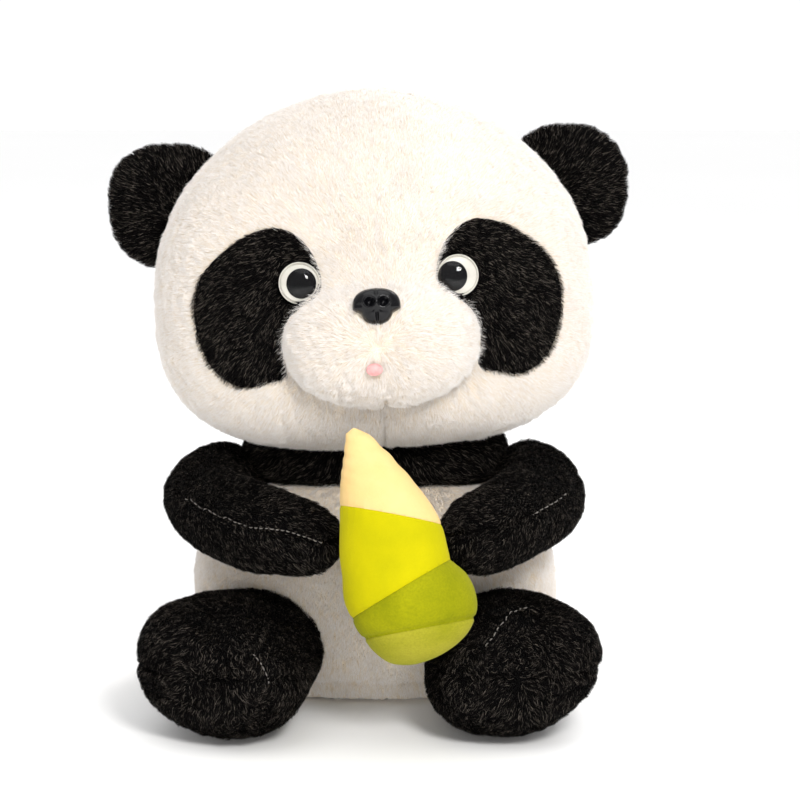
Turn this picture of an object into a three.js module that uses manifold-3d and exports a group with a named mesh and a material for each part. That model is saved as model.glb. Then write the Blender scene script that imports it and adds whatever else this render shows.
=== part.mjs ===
// Sitting plush panda that hugs a stuffed bamboo shoot between its paws.
// Millimetres, +Z up. It faces -Y and sits on its flat seat panel, whose centre is the origin.
// Left and right are the panda's own, so its left side is +X.

import * as THREE from 'three';
import { mergeVertices } from 'three/addons/utils/BufferGeometryUtils.js';
import Module from 'manifold-3d';

const wasm = await Module();
wasm.setup();

// ---- driving dimensions ----

const CLOTH = 2.2; // thickness of the backed plush cloth
const GAP = 0.3; // free space between neighbouring pieces
const FILL = 4.4; // how far the fibre filling stays inside the outer surface
const LIMB_FILL = 5.6; // the same in the arms and legs
const FAR = 300; // size of a cutting block, larger than any piece

// Columns and rows of the balls that the pieces are moulded from.
const FINE = [22, 12];
const MEDIUM = [16, 10];
const SMALL = [14, 8];
const TINY = [10, 6];
const EYE_SIDES = 16;
const HOLE_SIDES = 14;
const WASHER_SIDES = 12;
const SHANK_SIDES = 10;
const THREAD_SIDES = [5, 22];

// Egg-like bodies: half width, half depth, height above and below the widest level,
// and how full the corners are (2 is an ellipsoid, more is squarer).
const TORSO = { halfWidth: 84, halfDepth: 63, above: 62, below: 58, fullAbove: 2.6, fullBelow: 2.7 };
const HEAD = { halfWidth: 100, halfDepth: 76, above: 101, below: 60, fullAbove: 1.95, fullBelow: 2.9 };
const MUZZLE = { halfWidth: 43, halfDepth: 36, above: 29, below: 30, fullAbove: 2.3, fullBelow: 2.2 };
const TAIL = { halfWidth: 15, halfDepth: 14, above: 13, below: 12, fullAbove: 2, fullBelow: 2 };
const NOSE = { halfWidth: 9.6, halfDepth: 6, above: 6, below: 9.5, fullAbove: 2.6, fullBelow: 1.7,
  narrowing: 0.28, across: -0.03, upward: 0.63 };
const NOSTRIL = { radius: 1.9, x: 3.4, z: 0.4, proud: -0.2 };

const TORSO_AT = new THREE.Vector3(0, 0, 42);
const HEAD_AT = new THREE.Vector3(0, -4, 172);
const MUZZLE_AT = new THREE.Vector3(0, -66, -2); // from the head's centre
const TAIL_AT = new THREE.Vector3(0, 68, 24);
const HEAD_LEAN = THREE.MathUtils.degToRad(2.5); // its left side sits higher
const HEAD_TURN = THREE.MathUtils.degToRad(2.8); // it looks slightly to its left

const SEAT_SEAM = 11; // height of the seam round the seat panel
const BAND_SEAM = 99.5; // height of the seam under the black chest band
const NECK_AT = new THREE.Vector3(0, 2, 106); // the point that the head turns about
const NECK_RADIUS = 21;
const SOCKET_GAP = 1.2; // free space round the neck's ball
const NECK_THREAD = { radius: 25.5, thickness: 1, drop: 0.8 };

// Face pieces, from the head's centre. The eyes and the nose are locked by washers on their shanks.
const PATCH = { halfWidth: 26.5, halfHeight: 34.5, x: 51, z: 12.5, slant: 0.36, near: 20, far: 160 };
const EYE = { across: 0.325, upward: 0.235, lift: 0.4, radius: 9, dome: 5, rim: 1, wall: 0.9, back: 1.6,
  chamfer: 0.6, steps: 3 };
const SHANK = { radius: 2.2, length: 13 };
const EYE_SEAT_DEPTH = 12; // how deep the muzzle is cut away round an eye
const PUPIL = { radius: 6.2, thickness: 0.7, inward: 1.6 };
const WASHER = { radius: 6, hole: 2.4, thickness: 1.4, depth: 4.4, pocketRadius: 7, pocketLength: 19 };
const MOUTH = { halfWidth: 3.8, halfHeight: 3.1, halfDepth: 1.6, x: -3, z: -10, sunk: 0.6 };

const EAR = { radius: 29.5, halfThickness: 8, full: 2.3, thinning: 0.35, x: 90, y: 9, z: 51,
  clearance: 3.2 };

// Limbs: the points of the left limb's middle line, where only the end differs between the sides.
const ARM = { shoulder: 19, paw: 21, fullness: 3, clearance: 3.2, line: [[64, 6, 92], [77, -27, 91],
  [60, -68, 89]], leftEnd: [31, -97, 84], rightEnd: [-15, -97, 84] };
const ARM_SEAM = { x: 53, z: 89, slope: 0.17 };
const LEG = { hip: 27, foot: 46, flatness: 0.77, fullness: 3.2, clearance: 1.2, line: [[46, -20, 30.5],
  [57, -66, 30.5]], leftEnd: [63, -122, 30.5], rightEnd: [-72, -122, 30.5] };
const LEG_SEAM = 33; // height of the seam along a leg
const TAIL_CLEARANCE = 3.2;
const LABEL = { length: 22, height: 14, thickness: 0.8, bearing: 0.78, z: 17, stand: 88 };

// Outline of the shoot: x and z of its middle line, and its half width there, from tip to base.
const SHOOT_LINE = [[-7, 140, 2], [-2.5, 131, 9], [3, 115, 16], [7, 99, 21], [10, 85, 23.5],
  [15, 68, 27.5], [16.5, 53, 25.5], [12.5, 38.5, 7]];
const SHOOT = { tipY: -121, baseY: -115, length: 110, thickness: 0.74, endFullness: 6 };
const SHOOT_CLEARANCE = 2; // room for the shoot to tilt between the paws and above the left foot
const SHOOT_SEAMS = [
  { x: 7, z: 104, slant: -0.12 },
  { x: 12, z: 73, slant: 0.5 },
  { x: 17, z: 53, slant: 0.2 },
];

const UP = new THREE.Vector3(0, 0, 1);
const FORWARD = new THREE.Vector3(0, -1, 0);
const LEFTWARD = new THREE.Vector3(1, 0, 0);
const SIDES = [['left', 1], ['right', -1]];

// ---- colours and finishes ----

const CREAM = { color: '#ece5d8', roughness: 0.95 };
const BLACK = { color: '#161518', roughness: 0.9 };
const FIBRE = { color: '#f4f3ef', roughness: 1 };
const TIP_YELLOW = { color: '#f8eaa4', roughness: 0.85 };
const LIME = { color: '#ccd40c', roughness: 0.85 };
const OLIVE = { color: '#aeba1c', roughness: 0.85 };
const LEAF = { color: '#b9c735', roughness: 0.85 };
const PINK = { color: '#e6b3ae', roughness: 0.7 };
const GLOSS_BLACK = { color: '#0b0b0d', roughness: 0.12 };
const GLOSS_WHITE = { color: '#f3f1ec', roughness: 0.2 };
const CLEAR = { color: '#ffffff', roughness: 0.05 };
const WASHER_WHITE = { color: '#e9e9e6', roughness: 0.5 };
const THREAD = { color: '#1d1c1f', roughness: 0.8 };
const LABEL_WHITE = { color: '#f5f5f2', roughness: 0.6 };

const SHOOT_LAYERS = [
  { name: 'shoot_tip_panel', finish: TIP_YELLOW },
  { name: 'shoot_middle_panel', finish: LIME },
  { name: 'shoot_lower_panel', finish: OLIVE },
  { name: 'shoot_base_panel', finish: LEAF },
];

const panda = new THREE.Group();
const head = new THREE.Group();
head.position.copy(HEAD_AT);
head.rotation.set(0, -HEAD_LEAN, HEAD_TURN, 'ZYX');
head.updateMatrix();
panda.add(head);

// ---- helpers ----

function solidOf(geometry) {
  const bare = geometry.clone();
  bare.deleteAttribute('normal');
  bare.deleteAttribute('uv');
  const merged = mergeVertices(bare, 1e-4);
  const vertProperties = new Float32Array(merged.attributes.position.array);
  const triVerts = new Uint32Array(merged.index.array);
  return new wasm.Manifold(new wasm.Mesh({ numProp: 3, vertProperties, triVerts }));
}

function geometryOf(solid) {
  const mesh = solid.getMesh();
  const geometry = new THREE.BufferGeometry();
  geometry.setAttribute('position', new THREE.BufferAttribute(mesh.vertProperties.slice(), 3));
  geometry.setIndex(new THREE.BufferAttribute(mesh.triVerts.slice(), 1));
  geometry.computeVertexNormals();
  return geometry;
}

function addPiece(parent, name, solid, finish) {
  const material = new THREE.MeshStandardMaterial({ metalness: 0, ...finish });
  const piece = new THREE.Mesh(geometryOf(solid), material);
  piece.name = name;
  parent.add(piece);
}

// A ball whose every point is moved to where place(direction) puts it.
function mould([columns, rows], place) {
  const geometry = new THREE.SphereGeometry(1, columns, rows);
  const points = geometry.attributes.position;
  const point = new THREE.Vector3();
  for (let i = 0; i < points.count; i += 1) {
    point.copy(place(point.fromBufferAttribute(points, i)));
    points.setXYZ(i, point.x, point.y, point.z);
  }
  return solidOf(geometry);
}

// Where an egg-like body's surface, made smaller by inset, lies in a direction from its centre.
function eggPoint(size, direction, inset = 0) {
  const { x, y, z } = direction;
  const full = THREE.MathUtils.mapLinear(z, -1, 1, size.fullBelow, size.fullAbove);
  const power = Math.abs(x) ** full + Math.abs(y) ** full + Math.abs(z) ** full;
  const reach = power ** (-1 / full);
  const height = (z > 0 ? size.above : size.below) - inset;
  return new THREE.Vector3(
    x * reach * (size.halfWidth - inset),
    y * reach * (size.halfDepth - inset),
    z * reach * height,
  );
}

// An egg-like body with its poles at the top and the bottom.
function egg(size, centre, inset, [columns, rows]) {
  const place = (d) => eggPoint(size, new THREE.Vector3(d.x, -d.z, d.y), inset).add(centre);
  return mould([columns, rows], place);
}

// A frame on the front of an egg-like body, whose +Y is the surface's outward direction.
function frameOn(size, centre, across, upward, lift) {
  const towards = (x, z) => eggPoint(size, new THREE.Vector3(x, -Math.sqrt(1 - x * x - z * z), z));
  const nearby = 0.01;
  const at = towards(across, upward);
  const sideways = towards(across + nearby, upward).sub(at);
  const outward = sideways.cross(towards(across, upward + nearby).sub(at)).normalize();
  return facing(at.add(centre).addScaledVector(outward, lift), outward);
}

// A stuffed tube along limb.path, round at both ends; girth runs from limb.start to limb.end.
function tube(limb, inset, grid) {
  const length = limb.path.getLength();
  return mould(grid, (d) => {
    const along = (1 - d.y) / 2;
    const t = (inset + along * (length - 2 * inset)) / length;
    const round = (1 - Math.abs(d.y) ** limb.fullness) ** (1 / limb.fullness);
    const ring = Math.hypot(d.x, d.z) || 1;
    const width = Math.max(THREE.MathUtils.lerp(limb.start, limb.end, t) - inset, 0) * round;
    const forward = limb.path.getTangentAt(t);
    const side = new THREE.Vector3().crossVectors(forward, UP).normalize();
    const top = new THREE.Vector3().crossVectors(side, forward);
    return limb.path.getPointAt(t)
      .addScaledVector(side, (width * d.x) / ring)
      .addScaledVector(top, (-width * limb.flatness * d.z) / ring);
  });
}

function blockBeyond(normal, distance) {
  const block = new THREE.BoxGeometry(FAR, FAR, FAR);
  block.translate(0, 0, FAR / 2 + distance);
  const turn = new THREE.Quaternion().setFromUnitVectors(UP, normal.clone().normalize());
  block.applyQuaternion(turn);
  return solidOf(block);
}

// The two halves of a solid on each side of a plane, with a seam's gap between them.
function split(solid, normal, distance) {
  const away = normal.clone().negate();
  return [
    solid.intersect(blockBeyond(normal, distance + GAP / 2)),
    solid.intersect(blockBeyond(away, -distance + GAP / 2)),
  ];
}

function ballAt(centre, radius, [columns, rows] = SMALL) {
  const ball = new THREE.SphereGeometry(radius, columns, rows);
  ball.rotateX(Math.PI / 2);
  ball.translate(centre.x, centre.y, centre.z);
  return solidOf(ball);
}

// A rod along -Y from y = from to y = from - length, turned and moved by matrix.
function rod(radius, from, length, sides, matrix) {
  const cylinder = new THREE.CylinderGeometry(radius, radius, length, sides);
  cylinder.translate(0, from - length / 2, 0);
  cylinder.applyMatrix4(matrix);
  return solidOf(cylinder);
}

// Places a local frame whose +Y is the outward direction.
function facing(at, outward) {
  const turn = new THREE.Quaternion().setFromUnitVectors(new THREE.Vector3(0, 1, 0), outward);
  return new THREE.Matrix4().compose(at, turn, new THREE.Vector3(1, 1, 1));
}

function turned(profile, segments, matrix) {
  const points = profile.map(([radius, height]) => new THREE.Vector2(radius, height));
  const lathe = new THREE.LatheGeometry(points, segments);
  lathe.applyMatrix4(matrix);
  return solidOf(lathe);
}

// ---- torso ----

function makeTorso() {
  const outer = egg(TORSO, TORSO_AT, 0, FINE).intersect(blockBeyond(UP, 0));
  const inner = egg(TORSO, TORSO_AT, CLOTH, FINE).intersect(blockBeyond(UP, CLOTH));
  const socket = ballAt(NECK_AT, NECK_RADIUS + SOCKET_GAP);
  const cover = outer.subtract(inner).subtract(socket);
  const [upper, seat] = split(cover, UP, SEAT_SEAM);
  const [band, lower] = split(upper, UP, BAND_SEAM);
  const [chestBand, shoulderPanel] = split(band, FORWARD, 0);
  const [belly, lowerBack] = split(lower, FORWARD, 0);
  addPiece(panda, 'belly_panel', belly, CREAM);
  addPiece(panda, 'lower_back_panel', lowerBack, CREAM);
  addPiece(panda, 'chest_band', chestBand, BLACK);
  addPiece(panda, 'shoulder_panel', shoulderPanel, BLACK);
  addPiece(panda, 'seat_panel', seat, CREAM);
  const filling = egg(TORSO, TORSO_AT, FILL, MEDIUM);
  const resting = filling.intersect(blockBeyond(UP, FILL));
  addPiece(panda, 'torso_stuffing', resting.subtract(socket), FIBRE);
}

function makeNeck() {
  addPiece(panda, 'neck_stuffing', ballAt(NECK_AT, NECK_RADIUS), FIBRE);
  const ring = new THREE.TorusGeometry(NECK_THREAD.radius, NECK_THREAD.thickness, ...THREAD_SIDES);
  ring.translate(NECK_AT.x, NECK_AT.y, NECK_AT.z - NECK_THREAD.drop);
  addPiece(panda, 'neck_seam_thread', solidOf(ring), THREAD);
}

function makeTail() {
  const clear = egg(TORSO, TORSO_AT, -TAIL_CLEARANCE, FINE);
  const outer = egg(TAIL, TAIL_AT, 0, TINY).subtract(clear);
  const inner = egg(TAIL, TAIL_AT, CLOTH, TINY);
  addPiece(panda, 'tail_cover', outer.subtract(inner), CREAM);
  const filling = egg(TAIL, TAIL_AT, FILL, TINY).subtract(clear);
  addPiece(panda, 'tail_stuffing', filling, FIBRE);
}

// ---- head ----

function eyeFrame(sign) {
  return frameOn(HEAD, new THREE.Vector3(), sign * EYE.across, EYE.upward, EYE.lift);
}

function noseFrame() {
  return frameOn(MUZZLE, MUZZLE_AT, NOSE.across, NOSE.upward, 0);
}

// The slanted oval block that cuts an eye patch out of the face, made larger by grow.
function patchBlock(sign, grow) {
  const oval = new THREE.CylinderGeometry(1, 1, PATCH.far - PATCH.near, FINE[0]);
  oval.scale(PATCH.halfWidth + grow, 1, PATCH.halfHeight + grow);
  oval.rotateY(-sign * PATCH.slant);
  oval.translate(sign * PATCH.x, -(PATCH.near + PATCH.far) / 2, PATCH.z);
  return solidOf(oval);
}

function eyeHoles(radius, from, length) {
  const [left, right] = SIDES.map(([, sign]) => rod(radius, from, length, HOLE_SIDES, eyeFrame(sign)));
  return left.add(right);
}

function makeHeadCovers(outer, inner, neckHole) {
  const muzzleClear = egg(MUZZLE, MUZZLE_AT, -GAP, MEDIUM);
  const cover = outer.subtract(inner).subtract(neckHole).subtract(muzzleClear);
  const [front, back] = split(cover, FORWARD, 0);
  const faces = split(front, LEFTWARD, 0);
  const backs = split(back, LEFTWARD, 0);
  const holes = eyeHoles(SHANK.radius + GAP, 0, WASHER.pocketLength);
  SIDES.forEach(([side, sign], i) => {
    const patch = faces[i].intersect(patchBlock(sign, 0)).subtract(holes);
    addPiece(head, `face_panel_${side}`, faces[i].subtract(patchBlock(sign, GAP)), CREAM);
    addPiece(head, `eye_patch_${side}`, patch, BLACK);
    addPiece(head, `head_back_panel_${side}`, backs[i], CREAM);
  });
}

function makeMuzzleCover(inner) {
  const eyeSeats = eyeHoles(EYE.radius + GAP, EYE_SEAT_DEPTH, EYE_SEAT_DEPTH + GAP);
  const noseHole = rod(SHANK.radius + GAP, 0, WASHER.pocketLength, SHANK_SIDES, noseFrame());
  const shell = egg(MUZZLE, MUZZLE_AT, 0, MEDIUM).subtract(egg(MUZZLE, MUZZLE_AT, CLOTH, MEDIUM));
  addPiece(head, 'muzzle_cover', shell.subtract(inner).subtract(noseHole).subtract(eyeSeats), CREAM);
}

function makeHeadStuffing(inner, neckHole) {
  const pocket = (matrix) => rod(WASHER.pocketRadius, 0, WASHER.pocketLength, WASHER_SIDES, matrix);
  const filling = egg(HEAD, new THREE.Vector3(), FILL, MEDIUM).subtract(neckHole)
    .subtract(pocket(eyeFrame(1))).subtract(pocket(eyeFrame(-1)));
  addPiece(head, 'head_stuffing', filling, FIBRE);
  const muzzleFilling = egg(MUZZLE, MUZZLE_AT, FILL, SMALL).subtract(inner)
    .subtract(pocket(noseFrame()));
  addPiece(head, 'muzzle_stuffing', muzzleFilling, FIBRE);
}

function makeWasher(name, matrix) {
  const { radius, hole, thickness, depth } = WASHER;
  const profile = [[hole, -depth - thickness], [radius, -depth - thickness], [radius, -depth],
    [hole, -depth], [hole, -depth - thickness]];
  addPiece(head, name, turned(profile, WASHER_SIDES, matrix), WASHER_WHITE);
}

// A quarter of a ball's outline, from its rim to its top, standing on height.
function domeProfile(radius, rise, height) {
  const profile = [];
  for (let i = 0; i <= EYE.steps; i += 1) {
    const angle = (i / EYE.steps) * (Math.PI / 2);
    profile.push([radius * Math.cos(angle), height + rise * Math.sin(angle)]);
  }
  return profile;
}

// A safety eye: a white moulded base with its shank, a black disc and a clear dome over it.
function makeEye(side, sign) {
  const matrix = eyeFrame(sign);
  const { radius, back, chamfer, dome, rim, wall } = EYE;
  const base = [[0, -SHANK.length], [SHANK.radius, -SHANK.length], [SHANK.radius, 0],
    [radius - chamfer, 0], [radius, chamfer], [radius, back], [0, back]];
  addPiece(head, `eye_base_${side}`, turned(base, EYE_SIDES, matrix), GLOSS_WHITE);
  const floor = back + GAP;
  const disc = [[0, floor], [PUPIL.radius, floor], [PUPIL.radius, floor + PUPIL.thickness],
    [0, floor + PUPIL.thickness]];
  const inward = new THREE.Matrix4().makeTranslation(-sign * PUPIL.inward, 0, 0);
  const pupil = turned(disc, EYE_SIDES, matrix.clone().multiply(inward));
  addPiece(head, `pupil_${side}`, pupil, GLOSS_BLACK);
  const outside = domeProfile(radius, dome, floor + rim);
  const inside = domeProfile(radius - wall, dome - wall, floor + rim).reverse();
  inside[inside.length - 1][1] = floor;
  const profile = [...outside, ...inside, [radius, floor], [radius, floor + rim]];
  addPiece(head, `eye_dome_${side}`, turned(profile, EYE_SIDES, matrix), CLEAR);
  makeWasher(`eye_washer_${side}`, matrix);
}

// A moulded nose: wide and round above, tapering to a point below, with two nostrils.
function makeNose(muzzle) {
  const matrix = noseFrame();
  const stone = mould(SMALL, (d) => {
    const full = THREE.MathUtils.mapLinear(d.y, -1, 1, NOSE.fullBelow, NOSE.fullAbove);
    const power = Math.abs(d.x) ** full + Math.abs(d.y) ** full + Math.abs(d.z) ** full;
    const reach = power ** (-1 / full);
    const height = d.y > 0 ? NOSE.above : NOSE.below;
    const across = NOSE.halfWidth * (d.y > 0 ? 1 : 1 + NOSE.narrowing * d.y);
    return new THREE.Vector3(d.x * reach * across, d.z * reach * NOSE.halfDepth, -d.y * reach * height);
  });
  const body = solidOf(geometryOf(stone).applyMatrix4(matrix)).subtract(muzzle);
  const shank = rod(SHANK.radius, 1, SHANK.length, SHANK_SIDES, matrix);
  const nostril = (sign) => {
    const at = new THREE.Vector3(sign * NOSTRIL.x, NOSE.halfDepth + NOSTRIL.proud, NOSTRIL.z);
    return ballAt(at.applyMatrix4(matrix), NOSTRIL.radius, TINY);
  };
  addPiece(head, 'nose', body.add(shank).subtract(nostril(1)).subtract(nostril(-1)), GLOSS_BLACK);
  makeWasher('nose_washer', matrix);
}

function makeMouth(muzzle) {
  const { halfWidth, halfHeight, halfDepth, x, z, sunk } = MOUTH;
  const pad = new THREE.SphereGeometry(1, ...TINY);
  pad.scale(halfWidth, halfDepth, halfHeight);
  pad.translate(x, MUZZLE_AT.y - MUZZLE.halfDepth + sunk, z);
  addPiece(head, 'mouth_embroidery', solidOf(pad).subtract(muzzle), PINK);
}

function makeHead() {
  const centre = new THREE.Vector3();
  const outer = egg(HEAD, centre, 0, FINE);
  const inner = egg(HEAD, centre, CLOTH, FINE);
  const neckInHead = NECK_AT.clone().applyMatrix4(head.matrix.clone().invert());
  const neckHole = ballAt(neckInHead, NECK_RADIUS + SOCKET_GAP);
  const muzzleClear = egg(MUZZLE, MUZZLE_AT, -GAP, MEDIUM);
  makeHeadCovers(outer, inner, neckHole);
  makeMuzzleCover(inner);
  makeHeadStuffing(inner, neckHole);
  for (const [side, sign] of SIDES) {
    makeEye(side, sign);
  }
  makeNose(muzzleClear);
  makeMouth(muzzleClear);
  makeEars();
}

// ---- ears, arms, legs ----

// A point of an ear's flat round cushion, which thins out towards its edge.
function earPoint(sign, d, inset) {
  const power = Math.abs(d.x) ** EAR.full + Math.abs(d.y) ** EAR.full + Math.abs(d.z) ** EAR.full;
  const reach = power ** (-1 / EAR.full);
  const edge = Math.hypot(d.x, d.y) ** 3;
  const thin = (EAR.halfThickness - inset) * (1 - edge * EAR.thinning);
  return new THREE.Vector3(
    sign * EAR.x + d.x * reach * (EAR.radius - inset),
    EAR.y + d.z * reach * thin,
    EAR.z - d.y * reach * (EAR.radius - inset),
  );
}

// An ear's cushion, moulded with its poles at the front and the back.
function earBall(sign, inset, grid) {
  return mould(grid, (d) => earPoint(sign, new THREE.Vector3(d.x, -d.z, d.y), inset));
}

function makeEars() {
  const clear = egg(HEAD, new THREE.Vector3(), -EAR.clearance, FINE);
  for (const [side, sign] of SIDES) {
    const cover = earBall(sign, 0, MEDIUM).subtract(clear).subtract(earBall(sign, CLOTH, MEDIUM));
    const [front, back] = split(cover, FORWARD, -EAR.y);
    addPiece(head, `ear_front_panel_${side}`, front, BLACK);
    addPiece(head, `ear_back_panel_${side}`, back, BLACK);
    addPiece(head, `ear_stuffing_${side}`, earBall(sign, FILL, SMALL).subtract(clear), FIBRE);
  }
}

function makeLimb(kind, side, limb, seamNormal, seamDistance, clear) {
  const cover = tube(limb, 0, SMALL).subtract(clear).subtract(tube(limb, CLOTH, SMALL));
  const [upper, lower] = split(cover, seamNormal, seamDistance);
  addPiece(panda, `${kind}_upper_panel_${side}`, upper, BLACK);
  addPiece(panda, `${kind}_lower_panel_${side}`, lower, BLACK);
  addPiece(panda, `${kind}_stuffing_${side}`, tube(limb, LIMB_FILL, TINY).subtract(clear), FIBRE);
}

// The middle line of a limb on the side that sign gives.
function limbPath({ line, leftEnd, rightEnd }, sign) {
  const points = line.map(([x, y, z]) => new THREE.Vector3(sign * x, y, z));
  const end = new THREE.Vector3(...(sign > 0 ? leftEnd : rightEnd));
  return new THREE.CatmullRomCurve3([...points, end]);
}

function makeLimbs(shoot) {
  const armClear = egg(TORSO, TORSO_AT, -ARM.clearance, FINE).add(shoot);
  const legClear = egg(TORSO, TORSO_AT, -LEG.clearance, FINE).add(shoot);
  for (const [side, sign] of SIDES) {
    const arm = { path: limbPath(ARM, sign), start: ARM.shoulder, end: ARM.paw, fullness: ARM.fullness,
      flatness: 1 };
    const seam = new THREE.Vector3(-sign * ARM_SEAM.slope, 0, 1).normalize();
    const through = new THREE.Vector3(sign * ARM_SEAM.x, 0, ARM_SEAM.z).dot(seam);
    makeLimb('arm', side, arm, seam, through, armClear);
    const leg = { path: limbPath(LEG, sign), start: LEG.hip, end: LEG.foot, fullness: LEG.fullness,
      flatness: LEG.flatness };
    makeLimb('leg', side, leg, UP, LEG_SEAM, legClear);
  }
}

// ---- care label, sewn into the seat seam at the back ----

function makeLabel() {
  const { length, height, thickness, bearing, z, stand } = LABEL;
  const along = new THREE.Vector3(Math.cos(bearing), Math.sin(bearing), 0);
  const plate = new THREE.BoxGeometry(length, thickness, height);
  plate.rotateZ(bearing);
  plate.translate(along.x * stand, along.y * stand, z);
  addPiece(panda, 'care_label', solidOf(plate), LABEL_WHITE);
}

// ---- bamboo shoot ----

// The shoot's stuffed cone, moulded along its middle line from the tip down.
function shootBall(inset, grid) {
  const line = new THREE.CatmullRomCurve3(SHOOT_LINE.map((station) => new THREE.Vector3(...station)));
  const margin = inset / SHOOT.length;
  return mould(grid, (d) => {
    const t = THREE.MathUtils.clamp((1 - d.y) / 2, margin, 1 - margin);
    const { x: middle, y: height, z: halfWidth } = line.getPoint(t);
    const ring = Math.hypot(d.x, d.z) || 1;
    const end = Math.min(1, SHOOT.endFullness * Math.sqrt(t * (1 - t)));
    const half = Math.max(halfWidth - inset, 0) * end;
    return new THREE.Vector3(
      middle + (half * d.x) / ring,
      THREE.MathUtils.lerp(SHOOT.tipY, SHOOT.baseY, t) - (half * SHOOT.thickness * d.z) / ring,
      height,
    );
  });
}

function makeShoot() {
  let rest = shootBall(0, MEDIUM).subtract(shootBall(CLOTH, MEDIUM));
  const layers = SHOOT_SEAMS.map(({ x, z, slant }) => {
    const normal = new THREE.Vector3(-Math.sin(slant), 0, Math.cos(slant));
    const [above, below] = split(rest, normal, new THREE.Vector3(x, 0, z).dot(normal));
    rest = below;
    return above;
  });
  layers.push(rest);
  SHOOT_LAYERS.forEach(({ name, finish }, i) => addPiece(panda, name, layers[i], finish));
  addPiece(panda, 'shoot_stuffing', shootBall(FILL, TINY), FIBRE);
}

makeTorso();
makeNeck();
makeTail();
makeHead();
makeLimbs(shootBall(-SHOOT_CLEARANCE, MEDIUM));
makeShoot();
makeLabel();

export default panda;
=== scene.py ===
"""Plush panda hugging a stuffed bamboo shoot: the looks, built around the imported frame."""
import math

import bmesh
import bpy
import numpy as np
from mathutils import Matrix, Vector
from mathutils.bvhtree import BVHTree


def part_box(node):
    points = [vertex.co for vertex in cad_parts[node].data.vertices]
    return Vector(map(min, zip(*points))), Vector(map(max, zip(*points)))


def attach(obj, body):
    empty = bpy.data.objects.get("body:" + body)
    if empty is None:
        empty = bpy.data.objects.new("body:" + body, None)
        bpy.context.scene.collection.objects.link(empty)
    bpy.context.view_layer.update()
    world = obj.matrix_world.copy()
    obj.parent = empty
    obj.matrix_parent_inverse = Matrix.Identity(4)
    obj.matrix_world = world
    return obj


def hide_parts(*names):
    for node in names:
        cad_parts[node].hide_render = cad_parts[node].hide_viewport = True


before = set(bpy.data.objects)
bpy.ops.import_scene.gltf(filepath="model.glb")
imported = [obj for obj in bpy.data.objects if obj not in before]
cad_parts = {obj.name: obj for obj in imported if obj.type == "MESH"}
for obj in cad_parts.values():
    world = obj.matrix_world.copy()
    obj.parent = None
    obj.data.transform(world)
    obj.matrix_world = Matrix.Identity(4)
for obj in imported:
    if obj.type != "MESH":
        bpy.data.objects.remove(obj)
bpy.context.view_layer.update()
MM = 0.001
FUR_SHARE = 1.0

# ---- sizes in millimetres, as in the CAD ----

TORSO = dict(width=84, depth=63, above=62, below=58, full_above=2.6, full_below=2.7)
HEAD = dict(width=100, depth=76, above=101, below=60, full_above=1.95, full_below=2.9)
MUZZLE = dict(width=43, depth=36, above=29, below=30, full_above=2.3, full_below=2.2)
TAIL = dict(width=15, depth=14, above=13, below=12, full_above=2, full_below=2)
TORSO_AT = np.array([0, 0, 42.0])
MUZZLE_AT = np.array([0, -66, -2.0])
TAIL_AT = np.array([0, 68, 24.0])
NECK_AT = np.array([0, 2, 106.0])
HEAD_FRAME = (
    Matrix.Translation((0, -4, 172))
    @ Matrix.Rotation(math.radians(2.8), 4, "Z")
    @ Matrix.Rotation(math.radians(-2.5), 4, "Y")
)
SEAT_SEAM = 11
BAND_SEAM = 97.8  # on the backing cloth, at the middle of the chest
BAND_DROOP = 0.0012  # how much lower the band's edge is towards the arms
SIMULATED_FRAMES = 20
ROOM_GLOW = 0.45  # brightness of the room in front of the object
BACKDROP_GLOW = 1.05  # brightness of the white backdrop behind it
PILE = 1.9  # how far the backing cloth lies under the tips of the pile
SIDES = (("left", 1), ("right", -1))
CLOTH = dict(quality=4, mass=0.2, tension_stiffness=12, compression_stiffness=12, shear_stiffness=4,
             bending_stiffness=0.4, use_pressure=True, uniform_pressure_force=4.0)


def new_object(name, data):
    thing = bpy.data.objects.new(name, data)
    bpy.context.collection.objects.link(thing)
    return thing


# ---- the camera, at the photograph's viewing angle ----

def make_camera():
    distance, elevation, width_seen = 1.150, math.radians(11), 0.369
    target = Vector((0.0115, 0, 0.1293))
    data = bpy.data.cameras.new("camera")
    data.sensor_width = 36
    data.lens = data.sensor_width * distance / width_seen
    camera = new_object("camera", data)
    camera.location = target + distance * Vector((0, -math.cos(elevation), math.sin(elevation)))
    camera.rotation_euler = (math.pi / 2 - elevation, 0, 0)
    bpy.context.scene.camera = camera


make_camera()


# ---- vector helpers ----

def unit(v):
    return v / np.maximum(np.linalg.norm(v, axis=-1, keepdims=True), 1e-9)


def smoothstep(low, high, x):
    t = np.clip((x - low) / (high - low), 0, 1)
    return t * t * (3 - 2 * t)


def apply(matrix, points):
    m = np.array(matrix)
    return points @ m[:3, :3].T + m[:3, 3]


def ripple(points, wavelength, seed, waves=18):
    """Smooth noise of about -1 to 1, made of plane waves in random directions."""
    rng = np.random.default_rng(seed)
    directions = unit(rng.normal(size=(waves, 3)))
    lengths = wavelength * rng.uniform(0.7, 1.5, waves)
    phases = rng.uniform(0, 2 * math.pi, waves)
    turns = points @ (directions / lengths[:, None]).T * 2 * math.pi + phases
    return np.sin(turns).sum(axis=1) / math.sqrt(waves / 2) * 0.6


def groove(distance, width):
    """1 on a seam, falling to 0 over its width."""
    return np.exp(-((distance / width) ** 2))


# ---- mesh helpers ----

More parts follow.
